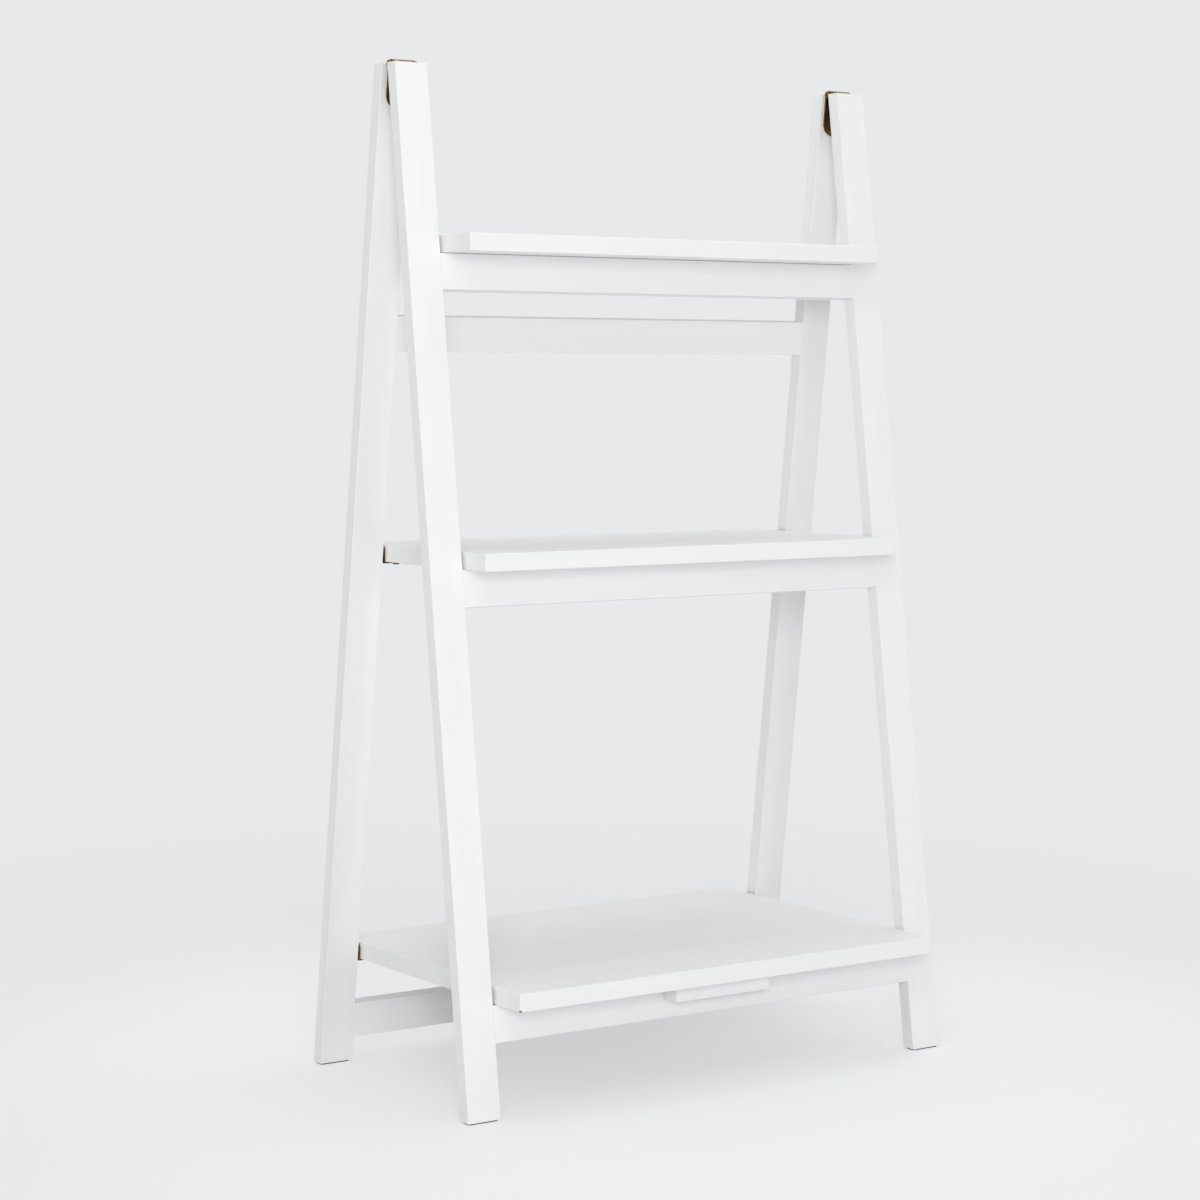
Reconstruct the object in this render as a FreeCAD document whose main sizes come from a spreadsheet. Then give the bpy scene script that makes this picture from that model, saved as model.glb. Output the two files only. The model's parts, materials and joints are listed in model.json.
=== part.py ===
import FreeCAD, Part
import Sketcher
import os

# Folding A-frame bookshelf: two ladder frames hinged together at the top, and three shelves that
# hang on pivots between the rear legs and rest on the front rails.
#
# +Z is up, X runs across the width and the front faces -Y. The origin is on the floor, at the
# centre of the outline. Lengths are in millimetres and angles in degrees.
#
# Each frame is drawn upright about the hinge axis and then leaned by its placement. Each shelf is
# drawn about its own pivot axis.

SIDES = (("left", -1), ("right", 1))
FRAMES = (("front", -1), ("rear", 1))
TIERS = ("top", "middle", "bottom")

SIZES = [
    ("overall_width", 600, "outer side to outer side of the legs"),
    ("leg_top", 1043, "height of the flat leg tops"),
    ("lean", 7.5, "lean of each frame from upright"),
    ("leg_width", 37, "legs, seen from the front"),
    ("leg_depth", 16, "legs and rails, front to back"),
    ("rail_width", 37, "rails, seen from the front"),
    ("wood_round", 0.8, "eased edges of the painted wood"),
    ("joint_round", 0.3, "inner edges of the legs, which the rails meet flush"),
    ("top_height", 870.5, "top face of the top shelf"),
    ("middle_height", 554.5, "top face of the middle shelf"),
    ("bottom_height", 129.5, "top face of the bottom shelf"),
    ("top_overhang", 55, "top shelf past the front legs"),
    ("middle_overhang", 41, "middle shelf past the front legs"),
    ("bottom_overhang", 47, "bottom shelf past the front legs"),
    ("shelf_thickness", 18, "shelf boards"),
    ("shelf_end_gap", 3.2, "shelf end to leg"),
    ("tail_reach", 42, "pivot to the rear edge of a shelf"),
    ("seat_gap", 0.3, "front rail to the shelf above it"),
    ("fold_clearance", 6, "upright middle shelf to the upper rear rail"),
    ("tail_clearance", 15, "hanging tail of the bottom shelf to the lower rear rail"),
    ("hinge_gap", 10, "between the legs at the hinge axis"),
    ("hinge_rise", 0.2, "hinge axis above the leg tops"),
    ("left_hinge_inset", 2.5, "left hinge, inward of its legs' middle"),
    ("leaf_width", 28, "hinge leaf and barrel"),
    ("leaf_length", 46, "hinge axis to the round end of a leaf"),
    ("leaf_thickness", 2, "hinge leaf"),
    ("barrel_diameter", 8, "hinge knuckles"),
    ("knuckle_gap", 0.3, "between knuckles, and round them"),
    ("pin_diameter", 4, "hinge pin"),
    ("tip_diameter", 6.4, "button tips of the hinge pin"),
    ("tip_length", 3.5, "button tips of the hinge pin"),
    ("tip_round", 2.2, "outer edge of a button tip"),
    ("hinge_screw_spread", 7, "upper hinge screws, from the leaf's centre line"),
    ("hinge_screw_drop", 7, "upper hinge screws, below the leaf's top"),
    ("running_clearance", 0.05, "round a pin that turns"),
    ("bracket_thickness", 1.6, "pivot bracket sheet"),
    ("ear_reach", 7, "pivot to either side of a bracket"),
    ("ear_rise", 8.4, "pivot to the top of a bracket's ear"),
    ("ear_round", 6.5, "upper corners of a bracket's ear"),
    ("flange_reach", 37, "shelf's end to the inner end of a bracket's flange"),
    ("flange_round", 4, "inner corners of a bracket's flange"),
    ("flange_screw_near", 17, "outer bracket screw, from the shelf's end"),
    ("flange_screw_far", 30, "inner bracket screw, from the shelf's end"),
    ("pivot_diameter", 5, "shoulder of a pivot screw"),
    ("pivot_thread", 4, "threaded end of a pivot screw"),
    ("pivot_depth", 22, "pivot screw in the leg"),
    ("pivot_head", 9, "head of a pivot screw"),
    ("pivot_head_height", 2.5, "head of a pivot screw"),
    ("head_room", 0.7, "recess round a pivot screw's head"),
    ("washer_diameter", 12, "spacer between bracket and leg"),
    ("side_play", 0.3, "along a pivot, on each face of the ear"),
    ("screw_head", 6, "countersunk heads"),
    ("screw_head_height", 1.5, "countersunk heads"),
    ("pan_head", 7, "pan heads of the bracket screws"),
    ("pan_height", 2, "pan heads of the bracket screws"),
    ("pan_round", 1.2, "outer edge of a pan head"),
    ("screw_diameter", 3, "wood screws"),
    ("screw_point", 3, "tapered end of a wood screw"),
    ("screw_tip", 0.7, "diameter of a wood screw's blunt tip"),
    ("slot_width", 0.7, "cross slot of a wood screw"),
    ("slot_length", 3.4, "cross slot of a wood screw"),
    ("slot_depth", 0.9, "cross slot of a wood screw"),
    ("hinge_screw", 14, "length of a hinge screw"),
    ("bracket_screw", 12, "length of a bracket screw"),
    ("cleat_screw", 30, "length of a cleat screw"),
    ("hole_clearance", 0.05, "round screws and dowels in their holes"),
    ("hole_spare", 0.5, "hole past the end of a screw or dowel"),
    ("dowel_diameter", 6, "rail dowels"),
    ("dowel_length", 40, "rail dowels, half in the rail and half in the leg"),
    ("dowel_spread", 9, "dowels from the middle of a rail"),
    ("cleat_length", 118, "lock cleat, across the shelf"),
    ("cleat_height", 18, "lock cleat, below the shelf"),
    ("cleat_depth", 23, "lock cleat, front to back"),
    ("cleat_clearance", 1.2, "lock cleat to the front rail, just under the shelf"),
    ("cleat_round", 10, "rear lower edge of the lock cleat"),
    ("cleat_screw_spread", 40, "cleat screws from the middle of the cleat"),
    ("glide_thickness", 1.5, "pad under each foot"),
    ("glide_inset", 2, "pad inside the foot's outline"),
]

# How near two numbers lie to count as equal and two directions as parallel, and the least volume of a cut
CLOSE = 0.01
PARALLEL = 0.999
LEAST_CUT = 1e-6

LEAN_SIN = "sin(Sizes.lean)"
LEAN_COS = "cos(Sizes.lean)"
LEAN_TAN = "tan(Sizes.lean)"


def cut_level(height, depth):
    """Where a level cut at a height meets a leaned leg, at a depth from the hinge axis."""
    return f"({height} - hinge_height - {depth} * {LEAN_SIN}) / {LEAN_COS}"


def front_face(height):
    """Distance of the front legs' front face ahead of the hinge axis, at a height."""
    return f"(face_out / {LEAN_COS} + {LEAN_TAN} * (hinge_height - ({height})))"


def layout_rows():
    """Places that follow from the sizes."""
    rows = [
        ("inner_half", "Sizes.overall_width / 2 - Sizes.leg_width"),
        ("shelf_half", "inner_half - Sizes.shelf_end_gap"),
        ("leg_centre", "inner_half + Sizes.leg_width / 2"),
        ("face_in", "Sizes.hinge_gap / 2"),
        ("face_mid", "face_in + Sizes.leg_depth / 2"),
        ("face_out", "face_in + Sizes.leg_depth"),
        ("hinge_height", "Sizes.leg_top + Sizes.hinge_rise"),
        ("head_in", cut_level("Sizes.leg_top", "face_in")),
        ("head_out", cut_level("Sizes.leg_top", "face_out")),
        ("foot_in", cut_level("Sizes.glide_thickness", "face_in")),
        ("foot_out", cut_level("Sizes.glide_thickness", "face_out")),
        ("barrel_radius", "Sizes.barrel_diameter / 2"),
        ("leaf_top", "sqrt((barrel_radius + Sizes.knuckle_gap)^2 - (face_in - Sizes.leaf_thickness)^2)"),
        ("knuckle_length", "(Sizes.leaf_width - 2 * Sizes.knuckle_gap) / 3"),
        ("board_half", "Sizes.shelf_thickness / 2"),
        ("foot_depth", f"Sizes.leg_depth / {LEAN_COS}"),
    ]
    under = {tier: f"Sizes.{tier}_height - Sizes.shelf_thickness" for tier in TIERS}
    for tier in TIERS:
        height = f"Sizes.{tier}_height"
        rows += [
            (f"{tier}_pivot_height", f"{height} - board_half"),
            (f"{tier}_pivot_drop",
             f"(hinge_height + face_mid * {LEAN_SIN} - {tier}_pivot_height) / {LEAN_COS}"),
            (f"{tier}_pivot_back", f"face_mid * {LEAN_COS} + {tier}_pivot_drop * {LEAN_SIN}"),
            (f"{tier}_reach", f"{tier}_pivot_back + {front_face(height)} + Sizes.{tier}_overhang"),
            (f"{tier}_rail_top", cut_level(f"{under[tier]} - Sizes.seat_gap", "face_out")),
        ]
    rows += [
        ("hinge_back", "(bottom_reach - Sizes.tail_reach) / 2 - bottom_pivot_back"),
        ("upper_rail_top", "Sizes.rail_width + Sizes.fold_clearance + middle_reach - middle_pivot_drop"),
        ("lower_rail_top", "-bottom_pivot_drop - Sizes.tail_reach - Sizes.tail_clearance"),
        ("cleat_back", f"-bottom_pivot_back - {front_face(under['bottom'])} - Sizes.cleat_clearance"),
        ("foot_face_in", f"face_in / {LEAN_COS} + {LEAN_TAN} * (hinge_height - Sizes.glide_thickness)"),
    ]
    return [(alias, "=" + formula, "") for alias, formula in rows]


doc = FreeCAD.newDocument("bookshelf")
nodes = {}


def add_sheet(name, rows):
    """A spreadsheet of named values."""
    sheet = doc.addObject("Spreadsheet::Sheet", name)
    for row, (alias, value, note) in enumerate(rows, start=1):
        sheet.set(f"A{row}", alias)
        sheet.set(f"B{row}", str(value))
        sheet.set(f"C{row}", note)
        sheet.setAlias(f"B{row}", alias)
    doc.recompute()
    return sheet


def turn(axis, angle):
    """A rotation about one axis, in degrees."""
    return FreeCAD.Rotation(FreeCAD.Vector(*axis), angle)


# Rotations that point a primitive's own Z along another direction
ALONG = {
    "x": turn((0, 1, 0), 90),
    "-x": turn((0, 1, 0), -90),
    "y": turn((1, 0, 0), -90),
    "-y": turn((1, 0, 0), 90),
    "z": turn((0, 0, 1), 0),
}


def signed(sign):
    """A formula's leading sign: minus on the left or in front, none on the right or behind."""
    return "-" if sign < 0 else ""


def bind(item, formulas):
    """Ties properties of an object to the sheets."""
    for path, formula in formulas.items():
        item.setExpression(path, formula)


def put(item, at, path="Placement"):
    """Ties an object's place to the sheets."""
    bind(item, {f"{path}.Base.{name}": formula for name, formula in zip("xyz", at)})


def new_node(kind, label):
    """An object that becomes one sub-part."""
    item = doc.addObject(kind, label)
    item.Label = label
    nodes[label] = item
    return item


def lean_with(item, frame_sign):
    """Stands a piece drawn upright about the hinge axis in its leaned frame."""
    item.Placement = FreeCAD.Placement(FreeCAD.Vector(), turn((1, 0, 0), frame_sign))
    put(item, ("0", "Layout.hinge_back", "Layout.hinge_height"))
    item.setExpression("Placement.Rotation.Angle", f"{signed(frame_sign)}Sizes.lean")


def hang_on_pivot(item, tier):
    """Puts a piece drawn about a shelf's pivot axis in its place."""
    put(item, ("0", f"Layout.hinge_back + Layout.{tier}_pivot_back", f"Layout.{tier}_pivot_height"))


def primitive(body, kind, sizes, at, along="z"):
    """Adds a primitive to a body, or cuts one out of it."""
    feature = body.newObject("PartDesign::" + kind, f"{body.Name}_{kind}")
    feature.Placement = FreeCAD.Placement(FreeCAD.Vector(), ALONG[along])
    bind(feature, sizes)
    put(feature, at)
    return feature


def block(body, x_range, y_range, z_range):
    """Adds a box between two formulas along each axis."""
    low = [pair[0] for pair in (x_range, y_range, z_range)]
    spans = {name: f"({pair[1]}) - ({pair[0]})"
             for name, pair in zip(("Length", "Width", "Height"), (x_range, y_range, z_range))}
    return primitive(body, "AdditiveBox", spans, low)


def rod(body, radius, length, at, along, cut=False):
    """Adds a cylinder to a body, or drills one."""
    kind = "SubtractiveCylinder" if cut else "AdditiveCylinder"
    return primitive(body, kind, {"Radius": radius, "Height": length}, at, along)


def span(sign, near, far):
    """A range on one side of the middle, lowest end first."""
    if sign < 0:
        return (f"-({far})", f"-({near})")
    return (near, far)


def round_edges(body, radius, chosen):
    """Rounds the edges of a body that a test picks out."""
    doc.recompute()
    base = body.Tip
    names = [f"Edge{i}" for i, edge in enumerate(base.Shape.Edges, start=1) if chosen(edge)]
    fillet = body.newObject("PartDesign::Fillet", f"{body.Name}_round")
    fillet.Base = (base, names)
    fillet.setExpression("Radius", radius)
    return fillet


def runs_along(edge, axis):
    """Whether an edge is straight and parallel to an axis."""
    ends = [vertex.Point for vertex in edge.Vertexes]
    if len(ends) < 2:
        return False
    run = ends[1] - ends[0]
    return abs(run.dot(FreeCAD.Vector(*axis))) > PARALLEL * run.Length


def screw_hole(body, at, along, length):
    """Drills the pilot hole of a wood screw whose head lies at a point."""
    radius = "Sizes.screw_diameter / 2 + Sizes.hole_clearance"
    rod(body, radius, f"{length} + Sizes.hole_spare", at, along, cut=True)


def countersink(body, at, along):
    """Cuts the seat of a screw head into a plate."""
    primitive(body, "SubtractiveCone", {
        "Radius1": "Sizes.screw_head / 2 + Sizes.hole_clearance",
        "Radius2": "Sizes.screw_diameter / 2 + Sizes.hole_clearance",
        "Height": "Sizes.screw_head_height",
    }, at, along)


def dowel_places(rail_top):
    """Heights of the two dowels at a rail's end."""
    middle = f"{rail_top} - Sizes.rail_width / 2"
    return [f"{middle} + {sign} * Sizes.dowel_spread" for sign in (-1, 1)]


def rails_of(frame):
    """Names and top edges of a frame's rails."""
    if frame == "front":
        return [(f"{tier}_front_rail", f"Layout.{tier}_rail_top") for tier in TIERS]
    return [("upper_rear_rail", "Layout.upper_rail_top"), ("lower_rear_rail", "Layout.lower_rail_top")]


def hinge_centre(side_sign):
    """Middle of a hinge, across the width."""
    return "Layout.leg_centre" if side_sign > 0 else "-(Layout.leg_centre - Sizes.left_hinge_inset)"


def hinge_screw_places(sign, side_sign):
    """Inner ends of the three screws of a hinge leaf, on the leaf's open face."""
    centre = hinge_centre(side_sign)
    face = f"{signed(sign)}(Layout.face_in - Sizes.leaf_thickness)"
    upper = "-(Layout.leaf_top + Sizes.hinge_screw_drop)"
    lower = "-(Sizes.leaf_length - Sizes.leaf_width / 2)"
    places = [(f"{centre} + {step} * Sizes.hinge_screw_spread", face, upper) for step in (-1, 1)]
    return places + [(centre, face, lower)]


def bracket_screw_places(side_sign):
    """Heads of a bracket's two screws, on the underside of its flange."""
    under = "-(Layout.board_half + Sizes.bracket_thickness)"
    return [(f"{signed(side_sign)}(Layout.shelf_half - Sizes.flange_screw_{place})", "0", under)
            for place in ("near", "far")]


def cleat_screw_places():
    """Heads of the cleat's two screws, on its underside."""
    middle = "Layout.cleat_back - Sizes.cleat_depth / 2"
    under = "-(Layout.board_half + Sizes.cleat_height)"
    return [(f"{sign} * Sizes.cleat_screw_spread", middle, under) for sign in (-1, 1)]


def leg_profile(body, sign):
    """Side view of a leg: a slanted stick with level ends, after it is leaned."""
    sketch = body.newObject("Sketcher::SketchObject", f"{body.Name}_profile")
    plane = [item for item in body.Origin.OriginFeatures if item.Role == "YZ_Plane"][0]
    sketch.AttachmentSupport = [(plane, "")]
    sketch.MapMode = "FlatFace"
    corners = [("face_in", "foot_in"), ("face_out", "foot_out"),
               ("face_out", "head_out"), ("face_in", "head_in")]
    points = [FreeCAD.Vector(sign * layout.get(across), layout.get(up), 0) for across, up in corners]
    for start, end in zip(points, points[1:] + points[:1]):
        sketch.addGeometry(Part.LineSegment(start, end))
    count = len(corners)
    for index, (across, up) in enumerate(corners):
        sketch.addConstraint(Sketcher.Constraint("Coincident", index, 2, (index + 1) % count, 1))
        for kind, formula, value in (("DistanceX", f"{signed(sign)}Layout.{across}", points[index].x),
                                     ("DistanceY", f"Layout.{up}", points[index].y)):
            number = sketch.addConstraint(Sketcher.Constraint(kind, -1, 1, index, 1, value))
            sketch.setExpression(f"Constraints[{number}]", formula)
    return sketch


def make_leg(frame, sign, side, side_sign):
    """A leg, with holes for its rails' dowels, its hinge leaf and, at the rear, the shelf pivots."""
    body = new_node("PartDesign::Body", f"{frame}_{side}_leg")
    sketch = leg_profile(body, sign)
    start = "Layout.inner_half" if side_sign > 0 else "-Sizes.overall_width / 2"
    sketch.setExpression("AttachmentOffset.Base.z", start)
    pad = body.newObject("PartDesign::Pad", f"{body.Name}_pad")
    pad.Profile = sketch
    pad.setExpression("Length", "Sizes.leg_width")
    middle = layout.get("leg_centre")
    for radius, outer in (("Sizes.wood_round", True), ("Sizes.joint_round", False)):
        round_edges(body, radius, lambda edge: runs_along(edge, (0, 0, 1))
                    and (abs(edge.CenterOfMass.x) > middle) == outer)
    inner = f"{signed(side_sign)}Layout.inner_half"
    depth = f"{signed(sign)}Layout.face_mid"
    outward = "x" if side_sign > 0 else "-x"
    for name, rail_top in rails_of(frame):
        for height in dowel_places(rail_top):
            rod(body, "Sizes.dowel_diameter / 2 + Sizes.hole_clearance",
                "Sizes.dowel_length / 2 + Sizes.hole_spare", (inner, depth, height), outward, cut=True)
    if frame == "rear":
        for tier in TIERS:
            rod(body, "Sizes.pivot_thread / 2 + Sizes.hole_clearance",
                "Sizes.pivot_depth + Sizes.hole_spare",
                (inner, depth, f"-Layout.{tier}_pivot_drop"), outward, cut=True)
    for place in hinge_screw_places(sign, side_sign):
        screw_hole(body, place, "y" if sign > 0 else "-y", "Sizes.hinge_screw")
    lean_with(body, sign)


def make_rail(label, rail_top, sign):
    """A rail between two legs, drilled for its dowels."""
    body = new_node("PartDesign::Body", label)
    block(body, ("-Layout.inner_half", "Layout.inner_half"),
          span(sign, "Layout.face_in", "Layout.face_out"), (f"{rail_top} - Sizes.rail_width", rail_top))
    round_edges(body, "Sizes.wood_round", lambda edge: runs_along(edge, (1, 0, 0)))
    for side, side_sign in SIDES:
        for height in dowel_places(rail_top):
            rod(body, "Sizes.dowel_diameter / 2 + Sizes.hole_clearance",
                "Sizes.dowel_length / 2 + Sizes.hole_spare",
                (f"{signed(side_sign)}Layout.inner_half", f"{signed(sign)}Layout.face_mid", height),
                "-x" if side_sign > 0 else "x", cut=True)
    lean_with(body, sign)


def make_dowels(frame, sign):
    """The dowels of a frame's rails."""
    group = new_node("Part::Compound", f"{frame}_frame_dowels")
    dowels = []
    for name, rail_top in rails_of(frame):
        for side, side_sign in SIDES:
            for height in dowel_places(rail_top):
                dowel = doc.addObject("Part::Cylinder", f"{name}_{side}_dowel")
                dowel.Placement = FreeCAD.Placement(FreeCAD.Vector(), ALONG["x"])
                bind(dowel, {"Radius": "Sizes.dowel_diameter / 2", "Height": "Sizes.dowel_length"})
                put(dowel, (f"{signed(side_sign)}Layout.inner_half - Sizes.dowel_length / 2",
                            f"{signed(sign)}Layout.face_mid", height))
                dowels.append(dowel)
    group.Links = dowels
    lean_with(group, sign)


def make_hinge_leaf(frame, sign, side, side_sign):
    """A hinge leaf with a round end: the front one has the outer knuckles, the rear one the middle."""
    body = new_node("PartDesign::Body", f"{side}_hinge_{frame}_leaf")
    left = f"{hinge_centre(side_sign)} - Sizes.leaf_width / 2"
    width = (left, f"{left} + Sizes.leaf_width")
    thickness = span(sign, "Layout.face_in - Sizes.leaf_thickness", "Layout.face_in")
    straight = "-(Sizes.leaf_length - Sizes.leaf_width / 2)"
    block(body, width, thickness, (straight, "-Layout.leaf_top"))
    rod(body, "Sizes.leaf_width / 2", "Sizes.leaf_thickness",
        (hinge_centre(side_sign), thickness[0], straight), "y")
    for place in ((1,) if frame == "rear" else (0, 2)):
        start = f"{left} + {place} * (Layout.knuckle_length + Sizes.knuckle_gap)"
        block(body, (start, f"{start} + Layout.knuckle_length"), thickness, ("-Layout.leaf_top", "0"))
        rod(body, "Layout.barrel_radius", "Layout.knuckle_length", (start, "0", "0"), "x")
    rod(body, "Sizes.pin_diameter / 2 + Sizes.running_clearance", "Sizes.leaf_width", (left, "0", "0"), "x",
        cut=True)
    for place in hinge_screw_places(sign, side_sign):
        along = "y" if sign > 0 else "-y"
        countersink(body, place, along)
        screw_hole(body, place, along, "Sizes.leaf_thickness")
    lean_with(body, sign)


def make_hinge_pin(side, side_sign):
    """A hinge pin with a button tip at each end."""
    body = new_node("PartDesign::Body", f"{side}_hinge_pin")
    left = f"{hinge_centre(side_sign)} - Sizes.leaf_width / 2 - Sizes.knuckle_gap"
    length = "Sizes.leaf_width + 2 * Sizes.knuckle_gap"
    rod(body, "Sizes.pin_diameter / 2", length, (left, "0", "0"), "x")
    rod(body, "Sizes.tip_diameter / 2", "Sizes.tip_length", (left, "0", "0"), "-x")
    rod(body, "Sizes.tip_diameter / 2", "Sizes.tip_length", (f"{left} + {length}", "0", "0"), "x")
    doc.recompute()
    box = body.Shape.BoundBox
    round_edges(body, "Sizes.tip_round",
                lambda edge: edge.BoundBox.XMax < box.XMin + CLOSE or edge.BoundBox.XMin > box.XMax - CLOSE)
    put(body, ("0", "Layout.hinge_back", "Layout.hinge_height"))


def make_shelf(tier):
    """A shelf board, drilled below for its brackets and recessed at its ends for the pivot heads."""
    body = new_node("PartDesign::Body", f"{tier}_shelf")
    block(body, ("-Layout.shelf_half", "Layout.shelf_half"), (f"-Layout.{tier}_reach", "Sizes.tail_reach"),
          ("-Layout.board_half", "Layout.board_half"))
    round_edges(body, "Sizes.wood_round", lambda edge: True)
    for side, side_sign in SIDES:
        rod(body, "Sizes.pivot_head / 2 + Sizes.head_room",
            "Sizes.side_play + Sizes.pivot_head_height + Sizes.head_room",
            (f"{signed(side_sign)}Layout.shelf_half", "0", "0"), "-x" if side_sign > 0 else "x", cut=True)
        for place in bracket_screw_places(side_sign):
            screw_hole(body, place, "z", "Sizes.bracket_screw")
    if tier == "bottom":
        for place in cleat_screw_places():
            screw_hole(body, place, "z", "Sizes.cleat_screw")
    hang_on_pivot(body, tier)


def make_bracket(tier, side, side_sign):
    """A sheet-metal pivot bracket: a round-topped ear at the shelf's end, bent in under the shelf."""
    body = new_node("PartDesign::Body", f"{tier}_shelf_{side}_bracket")
    depth = ("-Sizes.ear_reach", "Sizes.ear_reach")
    under = ("-(Layout.board_half + Sizes.bracket_thickness)", "-Layout.board_half")
    outer = "Layout.shelf_half + Sizes.bracket_thickness"
    block(body, span(side_sign, "Layout.shelf_half", outer), depth, (under[0], "Sizes.ear_rise"))
    doc.recompute()
    top = body.Shape.BoundBox.ZMax
    round_edges(body, "Sizes.ear_round",
                lambda edge: runs_along(edge, (1, 0, 0)) and edge.CenterOfMass.z > top - CLOSE)
    block(body, span(side_sign, "Layout.shelf_half - Sizes.flange_reach", outer), depth, under)
    doc.recompute()
    inner = min(abs(body.Shape.BoundBox.XMin), abs(body.Shape.BoundBox.XMax))
    round_edges(body, "Sizes.flange_round",
                lambda edge: runs_along(edge, (0, 0, 1)) and abs(edge.CenterOfMass.x) < inner + CLOSE)
    rod(body, "Sizes.pivot_diameter / 2 + Sizes.running_clearance", "Sizes.bracket_thickness",
        (f"{signed(side_sign)}Layout.shelf_half", "0", "0"), "x" if side_sign > 0 else "-x", cut=True)
    for place in bracket_screw_places(side_sign):
        screw_hole(body, place, "z", "Sizes.bracket_thickness")
    hang_on_pivot(body, tier)


def make_pivot_screw(tier, side, side_sign):
    """A shoulder screw through a bracket's ear into the rear leg."""
    body = new_node("PartDesign::Body", f"{tier}_shelf_{side}_pivot_screw")
    outward = "x" if side_sign > 0 else "-x"
    seat = "Layout.shelf_half - Sizes.side_play"
    rod(body, "Sizes.pivot_head / 2", "Sizes.pivot_head_height",
        (f"{signed(side_sign)}({seat} - Sizes.pivot_head_height)", "0", "0"), outward)
    rod(body, "Sizes.pivot_diameter / 2", f"Layout.inner_half - ({seat})",
        (f"{signed(side_sign)}({seat})", "0", "0"), outward)
    rod(body, "Sizes.pivot_thread / 2", "Sizes.pivot_depth",
        (f"{signed(side_sign)}Layout.inner_half", "0", "0"), outward)
    hang_on_pivot(body, tier)


def make_washers():
    """Spacers on the pivot screws, between the brackets and the rear legs."""
    group = new_node("Part::Compound", "pivot_washers")
    washers = []
    thickness = "Sizes.shelf_end_gap - Sizes.bracket_thickness - Sizes.side_play"
    for tier in TIERS:
        for side, side_sign in SIDES:
            body = doc.addObject("PartDesign::Body", f"{tier}_{side}_washer")
            outward = "x" if side_sign > 0 else "-x"
            at = (f"{signed(side_sign)}(Layout.inner_half - ({thickness}))", "0", "0")
            rod(body, "Sizes.washer_diameter / 2", thickness, at, outward)
            rod(body, "Sizes.pivot_diameter / 2 + Sizes.running_clearance", thickness, at, outward,
                cut=True)
            hang_on_pivot(body, tier)
            washers.append(body)
    group.Links = washers


def make_cleat():
    """The lock cleat under the bottom shelf, which stops the front rail from moving forward."""
    body = new_node("PartDesign::Body", "lock_cleat")
    block(body, ("-Sizes.cleat_length / 2", "Sizes.cleat_length / 2"),
          ("Layout.cleat_back - Sizes.cleat_depth", "Layout.cleat_back"),
          ("-Layout.board_half - Sizes.cleat_height", "-Layout.board_half"))
    doc.recompute()
    box = body.Shape.BoundBox

    def at_bottom(edge):
        return edge.CenterOfMass.z < box.ZMin + CLOSE

    round_edges(body, "Sizes.cleat_round",
                lambda edge: at_bottom(edge) and edge.CenterOfMass.y > box.YMax - CLOSE)
    round_edges(body, "Sizes.wood_round",
                lambda edge: at_bottom(edge) and edge.CenterOfMass.y < box.YMin + CLOSE)
    for place in cleat_screw_places():
        countersink(body, place, "z")
        screw_hole(body, place, "z", "Sizes.cleat_height")
    hang_on_pivot(body, "bottom")


def make_glide(frame, sign, side, side_sign):
    """A thin pad under a foot."""
    body = new_node("PartDesign::Body", f"{frame}_{side}_foot_glide")
    across = f"{signed(side_sign)}Layout.leg_centre"
    half = "(Sizes.leg_width / 2 - Sizes.glide_inset)"
    near = "Layout.foot_face_in + Sizes.glide_inset"
    far = "Layout.foot_face_in + Layout.foot_depth - Sizes.glide_inset"
    block(body, (f"{across} - {half}", f"{across} + {half}"), span(sign, near, far),
          ("0", "Sizes.glide_thickness"))
    round_edges(body, "Sizes.glide_inset", lambda edge: runs_along(edge, (0, 0, 1)))
    put(body, ("0", "Layout.hinge_back", "0"))


def make_screw(name, length, pan_head=False):
    """A cross-slotted wood screw pointing up, with its flush face or its pan head's seat at the origin."""
    body = doc.addObject("PartDesign::Body", name)
    radius = "Sizes.screw_diameter / 2"
    face = "0"
    if pan_head:
        face = "-Sizes.pan_height"
        rod(body, "Sizes.pan_head / 2", "Sizes.pan_height", ("0", "0", face), "z")
        doc.recompute()
        bottom = body.Shape.BoundBox.ZMin
        round_edges(body, "Sizes.pan_round", lambda edge: edge.BoundBox.ZMax < bottom + CLOSE)
    else:
        primitive(body, "AdditiveCone", {"Radius1": "Sizes.screw_head / 2", "Radius2": radius,
                                         "Height": "Sizes.screw_head_height"}, ("0", "0", "0"))
    shank = f"{length} - Sizes.screw_point"
    rod(body, radius, shank, ("0", "0", "0"), "z")
    primitive(body, "AdditiveCone", {"Radius1": radius, "Radius2": "Sizes.screw_tip / 2",
                                     "Height": "Sizes.screw_point"}, ("0", "0", shank))
    for long, wide in (("slot_length", "slot_width"), ("slot_width", "slot_length")):
        primitive(body, "SubtractiveBox",
                  {"Length": f"Sizes.{long}", "Width": f"Sizes.{wide}", "Height": "Sizes.slot_depth"},
                  (f"-Sizes.{long} / 2", f"-Sizes.{wide} / 2", face))
    return body


def make_screws(label, screw, places, along):
    """A set of equal screws, as one sub-part of separate solids."""
    group = new_node("Part::Compound", label)
    links = []
    for place in places:
        link = doc.addObject("App::Link", f"{label}_link")
        link.LinkedObject = screw
        link.LinkPlacement = FreeCAD.Placement(FreeCAD.Vector(), ALONG[along])
        put(link, place, "LinkPlacement")
        links.append(link)
    group.Links = links
    return group


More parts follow.
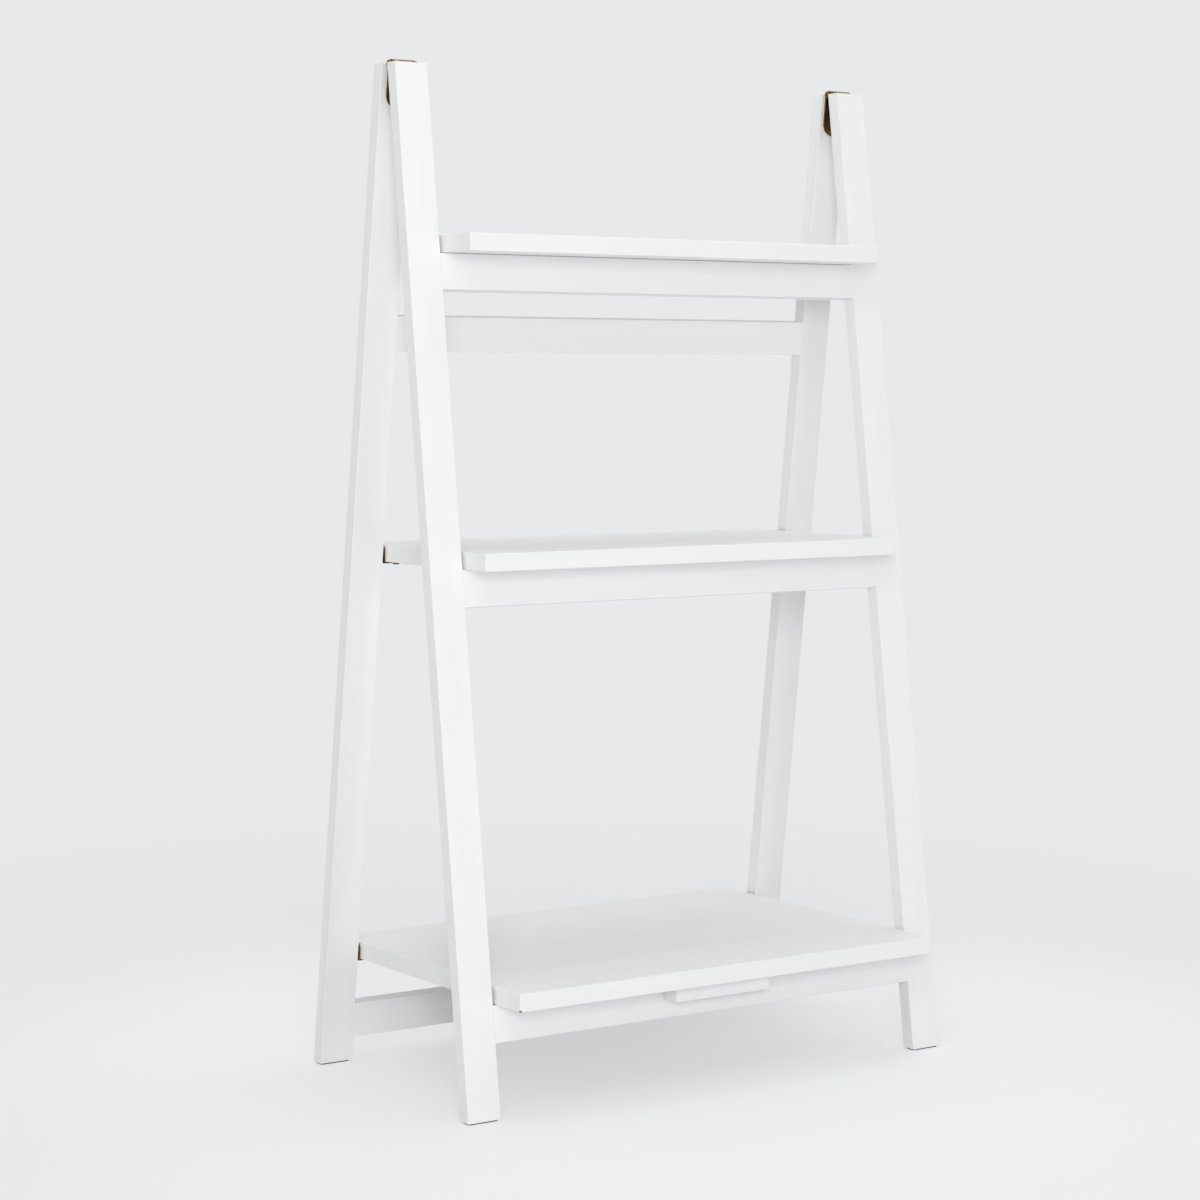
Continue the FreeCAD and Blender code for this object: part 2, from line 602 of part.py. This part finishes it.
def make_frames(hinge_screw):
    """Both ladder frames, with their hinge leaves and glides."""
    for frame, sign in FRAMES:
        for side, side_sign in SIDES:
            make_leg(frame, sign, side, side_sign)
            make_hinge_leaf(frame, sign, side, side_sign)
            make_glide(frame, sign, side, side_sign)
        for label, rail_top in rails_of(frame):
            make_rail(label, rail_top, sign)
        make_dowels(frame, sign)
        places = [place for side, side_sign in SIDES for place in hinge_screw_places(sign, side_sign)]
        screws = make_screws(f"{frame}_hinge_screws", hinge_screw, places, "y" if sign > 0 else "-y")
        lean_with(screws, sign)
    for side, side_sign in SIDES:
        make_hinge_pin(side, side_sign)


def make_shelves(bracket_screw, cleat_screw):
    """The three shelves, with their pivots and the lock cleat."""
    for tier in TIERS:
        make_shelf(tier)
        for side, side_sign in SIDES:
            make_bracket(tier, side, side_sign)
            make_pivot_screw(tier, side, side_sign)
        places = [place for side, side_sign in SIDES for place in bracket_screw_places(side_sign)]
        hang_on_pivot(make_screws(f"{tier}_shelf_bracket_screws", bracket_screw, places, "z"), tier)
    make_washers()
    make_cleat()
    hang_on_pivot(make_screws("lock_cleat_screws", cleat_screw, cleat_screw_places(), "z"), "bottom")


def check_model():
    """Stops if any object failed, any cut missed its piece or any sub-part is unsound."""
    for item in doc.Objects:
        if "Invalid" in item.State or "Error" in item.State:
            raise RuntimeError(f"{item.Label} failed: {item.State}")
        if item.TypeId.startswith("PartDesign::Subtractive"):
            if item.BaseFeature.Shape.Volume - item.Shape.Volume < LEAST_CUT:
                raise RuntimeError(f"{item.Label} cuts nothing")
    for label, item in nodes.items():
        if item.Shape.isNull() or not item.Shape.isValid() or not item.Shape.Solids:
            raise RuntimeError(f"{label} has no sound solid")


def write_parts():
    """Writes each sub-part to a file of its own name."""
    os.makedirs("parts", exist_ok=True)
    for label, item in nodes.items():
        item.Shape.exportStep(f"parts/{label}.step")


sizes = add_sheet("Sizes", SIZES)
layout = add_sheet("Layout", layout_rows())
make_frames(make_screw("hinge_screw_pattern", "Sizes.hinge_screw"))
make_shelves(make_screw("bracket_screw_pattern", "Sizes.bracket_screw", pan_head=True),
             make_screw("cleat_screw_pattern", "Sizes.cleat_screw"))
doc.recompute()
check_model()
write_parts()
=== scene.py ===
"""Materials, floor, light and camera for the folding bookshelf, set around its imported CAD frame."""
import json
import math

import bmesh
import bpy
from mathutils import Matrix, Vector


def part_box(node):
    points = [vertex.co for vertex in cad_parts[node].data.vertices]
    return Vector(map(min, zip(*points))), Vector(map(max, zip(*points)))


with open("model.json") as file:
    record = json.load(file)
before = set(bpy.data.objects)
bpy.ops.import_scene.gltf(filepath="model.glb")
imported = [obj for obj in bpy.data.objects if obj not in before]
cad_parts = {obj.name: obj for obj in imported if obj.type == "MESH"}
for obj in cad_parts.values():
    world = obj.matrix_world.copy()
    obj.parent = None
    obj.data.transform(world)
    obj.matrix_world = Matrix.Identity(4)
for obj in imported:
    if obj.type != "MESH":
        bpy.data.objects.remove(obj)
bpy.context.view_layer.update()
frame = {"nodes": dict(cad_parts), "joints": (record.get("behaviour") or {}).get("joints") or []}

# Sizes and places are in metres, angles in degrees, in the CAD frame: +Z up, the front towards -Y.

# Camera, at the photograph's angle
CAMERA_PLACE = (-1.7325, -2.5054, 0.7198)
CAMERA_TURN = 33.990
CAMERA_DIP = 2.379
CAMERA_LENS = 85.776
CAMERA_SHIFT_UP = -0.08
SENSOR_WIDTH = 36.0

# Studio
BACKDROP = (0.800, 0.812, 0.822)
FLOOR_COLOUR = (0.880, 0.905, 0.925)
# FLOOR_GLOW is painted light: near the object the floor glows brighter than the backdrop for camera and
# glossy rays, a painted pool of light over the floor and its shadow
FLOOR_GLOW = (0.920, 0.930, 0.937)
FLOOR_GLOW_SHARE = 0.45
FLOOR_GLOW_FADE = (0.40, 0.95)
FLOOR_FADE = (0.5, 2.0)
FLOOR_RADIUS = 30.0
FLOOR_SEGMENTS = 96
FLOOR_ROUGHNESS = 0.9
FLOOR_SPECULAR = 0.1
AMBIENT = (1.0, 1.0, 1.0)
AMBIENT_STRENGTH = 0.40
AIM = (0.0, 0.0, 0.55)
# name, place, width, watts
LAMPS = (
    ("camera_softbox", (-2.19, -3.24, 1.38), 1.0, 43.0),
    ("high_softbox", (-1.54, -2.29, 2.86), 1.4, 16.0),
    ("left_softbox", (-2.77, -1.01, 2.62), 1.6, 6.5),
    ("low_softbox", (0.1, -2.8, 0.3), 0.5, 5.6),
    ("right_softbox", (3.6, 0.2, 2.0), 4.0, 37.0),
    ("top_softbox", (0.3, 0.2, 3.2), 2.4, 23.5),
    ("back_softbox", (-1.0, 3.2, 1.3), 3.0, 14.0),
)

# Colours, in linear values
PAINT_LIGHT = (0.874, 0.872, 0.866)
PAINT_DARK = (0.857, 0.855, 0.849)
BRONZE_LIGHT = (0.26, 0.145, 0.036)
BRONZE_DARK = (0.075, 0.042, 0.011)
BEECH_LIGHT = (0.60, 0.42, 0.26)
BEECH_DARK = (0.42, 0.26, 0.14)
PAD_LIGHT = (0.045, 0.040, 0.036)
PAD_DARK = (0.014, 0.012, 0.011)
CHIP_TONE = (0.21, 0.19, 0.17)

# Sizes of the noise's cells along X, Y and Z
GRAIN_LEVEL = (0.09, 0.003, 0.003)
GRAIN_UPRIGHT = (0.003, 0.003, 0.09)
PAINT_MIST = (0.0016,) * 3
PATINA = (0.006,) * 3
PLATING = (0.0008,) * 3
BEECH_FLECK = (0.016, 0.0012, 0.0012)
PAD_SPECKLE = (0.0012,) * 3
# Noise values between which a tone goes from dark to light, and the roughness from start to end
TONE_SPAN = (0.35, 0.65)
ROUGHNESS_SPAN = (0.3, 0.7)

# Marks in the paint: a brush stroke, as a multiple of the wood's grain, how far a chip reaches, and the
# span over which its edge fades, in which 1 is the reach and the noise is added to the distance
STROKE = 6.0
CHIP_REACH = 0.0028
CHIP_FADE = (1.3, 1.5)


def add_node(tree, kind, inputs=None, **settings):
    """A new shader node. An input that is given a socket is linked to it, any other is set."""
    node = tree.nodes.new(kind)
    for key, value in settings.items():
        setattr(node, key, value)
    for key, value in (inputs or {}).items():
        if isinstance(value, bpy.types.NodeSocket):
            tree.links.new(value, node.inputs[key])
        else:
            node.inputs[key].default_value = value
    return node


def opaque(colour):
    """A colour with full alpha."""
    return (*colour, 1.0)


class Finish:
    """A material whose noise is laid out in the CAD frame, so that it stays on its piece at any pose."""

    def __init__(self, name, **shader):
        self.material = bpy.data.materials.new(name)
        self.material.use_nodes = True
        self.tree = self.material.node_tree
        self.shader = self.tree.nodes["Principled BSDF"]
        for key, value in shader.items():
            self.shader.inputs[key.replace("_", " ")].default_value = value
        self.place = add_node(self.tree, "ShaderNodeTexCoord").outputs["Object"]
        self.normal = None

    def noise(self, cell, detail=3.0, turn=(0.0, 0.0, 0.0)):
        """Noise whose cells have the given size along X, Y and Z after the turn."""
        turned = add_node(self.tree, "ShaderNodeMapping", {"Vector": self.place, "Rotation": turn})
        scaled = add_node(self.tree, "ShaderNodeMapping",
                          {"Vector": turned.outputs["Vector"], "Scale": [1.0 / side for side in cell]})
        made = add_node(self.tree, "ShaderNodeTexNoise",
                        {"Vector": scaled.outputs["Vector"], "Scale": 1.0, "Detail": detail})
        return made.outputs["Fac"]

    def colour(self, noise, dark, light):
        """The base colour, from dark to light as the noise rises."""
        ramp = add_node(self.tree, "ShaderNodeValToRGB", {"Fac": noise})
        for stop, place, tone in zip(ramp.color_ramp.elements, TONE_SPAN, (dark, light)):
            stop.position = place
            stop.color = opaque(tone)
        self.tree.links.new(ramp.outputs["Color"], self.shader.inputs["Base Color"])

    def chip(self, corner, reach, tone):
        """Another tone within a ragged reach of a corner, where the finish is knocked off."""
        finished = self.shader.inputs["Base Color"].links[0].from_socket
        away = add_node(self.tree, "ShaderNodeVectorMath", {0: self.place, 1: corner}, operation="DISTANCE")
        share = add_node(self.tree, "ShaderNodeMath", {0: away.outputs["Value"], 1: reach},
                         operation="DIVIDE")
        ragged = add_node(self.tree, "ShaderNodeMath",
                          {0: share.outputs["Value"], 1: self.noise((reach / 2,) * 3)}, operation="ADD")
        bare = add_node(self.tree, "ShaderNodeMapRange",
                        {"Value": ragged.outputs["Value"], "From Min": CHIP_FADE[0],
                         "From Max": CHIP_FADE[1], "To Min": 1.0, "To Max": 0.0})
        mixed = add_node(self.tree, "ShaderNodeMixRGB",
                         {"Fac": bare.outputs["Result"], "Color1": finished, "Color2": opaque(tone)})
        self.tree.links.new(mixed.outputs["Color"], self.shader.inputs["Base Color"])

    def roughness(self, noise, start, end):
        """The roughness, from start to end as the noise rises."""
        ranged = add_node(self.tree, "ShaderNodeMapRange",
                          {"Value": noise, "From Min": ROUGHNESS_SPAN[0], "From Max": ROUGHNESS_SPAN[1],
                           "To Min": start, "To Max": end})
        self.tree.links.new(ranged.outputs["Result"], self.shader.inputs["Roughness"])

    def bump(self, noise, depth, strength):
        """Relief of the given depth on top of the relief that is there already."""
        inputs = {"Height": noise, "Distance": depth, "Strength": strength}
        if self.normal is not None:
            inputs["Normal"] = self.normal
        self.normal = add_node(self.tree, "ShaderNodeBump", inputs).outputs["Normal"]
        self.tree.links.new(self.normal, self.shader.inputs["Normal"])


def paint(name, cell, turn=(0.0, 0.0, 0.0), chipped_at=None):
    """White satin paint over wood whose grain is drawn out along the longest side of the cell."""
    finish = Finish(name)
    film = finish.noise([STROKE * side for side in cell], detail=3.0, turn=turn)
    finish.colour(film, PAINT_DARK, PAINT_LIGHT)
    finish.roughness(film, start=0.52, end=0.60)
    finish.bump(finish.noise(cell, detail=4.0, turn=turn), depth=0.00012, strength=0.6)
    finish.bump(finish.noise(PAINT_MIST, detail=1.0), depth=0.00003, strength=0.6)
    if chipped_at is not None:
        finish.chip(chipped_at, CHIP_REACH, CHIP_TONE)
    return finish.material


def bronze():
    """Antique bronze plating, darker where the patina is thick."""
    finish = Finish("antique_bronze", Metallic=1.0)
    patina = finish.noise(PATINA, detail=5.0)
    finish.colour(patina, BRONZE_DARK, BRONZE_LIGHT)
    finish.roughness(patina, start=0.50, end=0.32)
    finish.bump(finish.noise(PLATING, detail=2.0), depth=0.00003, strength=0.5)
    return finish.material


def beech():
    """Bare beech with its fleck, drawn out along the dowels."""
    finish = Finish("bare_beech")
    fleck = finish.noise(BEECH_FLECK, detail=4.0)
    finish.colour(fleck, BEECH_DARK, BEECH_LIGHT)
    finish.roughness(fleck, start=0.62, end=0.74)
    finish.bump(fleck, depth=0.0001, strength=0.6)
    return finish.material


def foot_pad():
    """Near-black pads under the feet, which show as a thin dark line under each foot."""
    finish = Finish("dark_foot_pad")
    speckle = finish.noise(PAD_SPECKLE, detail=4.0)
    finish.colour(speckle, PAD_DARK, PAD_LIGHT)
    finish.roughness(speckle, start=0.85, end=0.97)
    finish.bump(speckle, depth=0.0002, strength=0.8)
    return finish.material


def dress_nodes():
    """Gives every CAD node the finish of its material slot."""
    fold = next(joint for joint in frame["joints"] if joint["name"] == "frame_hinge")
    lean = math.radians(max(fold["range_deg"])) / 2
    front_left_corner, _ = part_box("bottom_shelf")
    paints = {
        "front_leg": paint("white_paint_front_legs", GRAIN_UPRIGHT, (lean, 0.0, 0.0)),
        "rear_leg": paint("white_paint_rear_legs", GRAIN_UPRIGHT, (-lean, 0.0, 0.0)),
        "bottom_shelf": paint("white_paint_bottom_shelf", GRAIN_LEVEL, chipped_at=front_left_corner),
        "level": paint("white_paint_boards", GRAIN_LEVEL),
    }
    others = {"bronze": bronze(), "bare_wood": beech(), "foot_pad": foot_pad()}
    for name, node in frame["nodes"].items():
        place = node.material_slots[0]
        if place.material.name in others:
            place.material = others[place.material.name]
        elif name.endswith("_leg"):
            place.material = paints[name.split("_")[0] + "_leg"]
        else:
            place.material = paints.get(name, paints["level"])


def seen_directly(tree):
    """1 for the rays that show the background itself: camera, glossy and transmitted ones."""
    rays = add_node(tree, "ShaderNodeLightPath")
    shown = rays.outputs["Is Camera Ray"]
    for kind in ("Is Glossy Ray", "Is Transmission Ray"):
        shown = add_node(tree, "ShaderNodeMath", {0: shown, 1: rays.outputs[kind]},
                         operation="MAXIMUM").outputs["Value"]
    return shown


def make_floor():
    """A pale floor that keeps the shadow near the object and runs into the backdrop further out. Near the
    object, camera and glossy rays see part of it as a painted glow, a pool of light brighter than the
    backdrop that lightens the floor and its shadow there.

    It is seen from above only, so that a view from below shows the object's underside.
    """
    mesh = bpy.data.meshes.new("floor")
    shape = bmesh.new()
    bmesh.ops.create_circle(shape, cap_ends=True, segments=FLOOR_SEGMENTS, radius=FLOOR_RADIUS)
    shape.to_mesh(mesh)
    shape.free()
    floor = bpy.data.objects.new("floor", mesh)
    bpy.context.scene.collection.objects.link(floor)

    material = bpy.data.materials.new("studio_floor")
    material.use_nodes = True
    tree = material.node_tree
    near = tree.nodes["Principled BSDF"]
    near.inputs["Base Color"].default_value = opaque(FLOOR_COLOUR)
    near.inputs["Roughness"].default_value = FLOOR_ROUGHNESS
    near.inputs["Specular IOR Level"].default_value = FLOOR_SPECULAR
    place = add_node(tree, "ShaderNodeTexCoord").outputs["Object"]
    reach = add_node(tree, "ShaderNodeVectorMath", {0: place}, operation="LENGTH").outputs["Value"]

    def faded(span, low):
        """Rises from a low value to 1 over a span of distances from the object."""
        inputs = {"Value": reach, "From Min": span[0], "From Max": span[1], "To Min": low, "To Max": 1.0}
        ranged = add_node(tree, "ShaderNodeMapRange", inputs, interpolation_type="SMOOTHSTEP")
        return ranged.outputs["Result"]

    # Painted glow: near the object the floor shows FLOOR_GLOW, a painted pool of light brighter than the
    # backdrop, fading into the backdrop further out
    tone = add_node(tree, "ShaderNodeMixRGB",
                    {"Fac": faded(FLOOR_GLOW_FADE, 0.0), "Color1": opaque(FLOOR_GLOW),
                     "Color2": opaque(BACKDROP)})
    glow = add_node(tree, "ShaderNodeEmission", {"Color": tone.outputs["Color"], "Strength": 1.0})
    share = add_node(tree, "ShaderNodeMath",
                     {0: faded(FLOOR_FADE, FLOOR_GLOW_SHARE), 1: seen_directly(tree)}, operation="MULTIPLY")
    blended = add_node(tree, "ShaderNodeMixShader",
                       {0: share.outputs["Value"], 1: near.outputs["BSDF"], 2: glow.outputs["Emission"]})
    below = add_node(tree, "ShaderNodeNewGeometry").outputs["Backfacing"]
    clear = add_node(tree, "ShaderNodeBsdfTransparent").outputs["BSDF"]
    one_sided = add_node(tree, "ShaderNodeMixShader", {0: below, 1: blended.outputs["Shader"], 2: clear})
    tree.links.new(one_sided.outputs["Shader"], tree.nodes["Material Output"].inputs["Surface"])
    mesh.materials.append(material)


def make_world():
    """Even light from all round, seen directly as the pale backdrop."""
    world = bpy.data.worlds.new("studio")
    world.use_nodes = True
    tree = world.node_tree
    light = tree.nodes["Background"]
    light.inputs["Color"].default_value = opaque(AMBIENT)
    light.inputs["Strength"].default_value = AMBIENT_STRENGTH
    seen = add_node(tree, "ShaderNodeBackground", {"Color": opaque(BACKDROP), "Strength": 1.0})
    blended = add_node(tree, "ShaderNodeMixShader",
                       {0: seen_directly(tree), 1: light.outputs["Background"],
                        2: seen.outputs["Background"]})
    tree.links.new(blended.outputs["Shader"], tree.nodes["World Output"].inputs["Surface"])
    bpy.context.scene.world = world


def make_lamps():
    """Square softboxes round the object, all turned to its middle."""
    for name, place, width, watts in LAMPS:
        lamp = bpy.data.lights.new(name, "AREA")
        lamp.shape = "SQUARE"
        lamp.size = width
        lamp.energy = watts
        holder = bpy.data.objects.new(name, lamp)
        holder.location = place
        holder.rotation_euler = (Vector(AIM) - Vector(place)).to_track_quat("-Z", "Y").to_euler()
        bpy.context.scene.collection.objects.link(holder)


def make_camera():
    """A camera where the photograph's stood, as fitted to the edges. The shift only sets the framing."""
    lens = bpy.data.cameras.new("camera")
    lens.sensor_width = SENSOR_WIDTH
    lens.lens = CAMERA_LENS
    lens.shift_y = CAMERA_SHIFT_UP
    camera = bpy.data.objects.new("camera", lens)
    camera.location = CAMERA_PLACE
    camera.rotation_euler = (math.radians(90.0 - CAMERA_DIP), 0.0, math.radians(-CAMERA_TURN))
    bpy.context.scene.collection.objects.link(camera)
    bpy.context.scene.camera = camera


dress_nodes()
make_floor()
make_world()
make_lamps()
make_camera()
bpy.context.scene.view_settings.view_transform = "Standard"
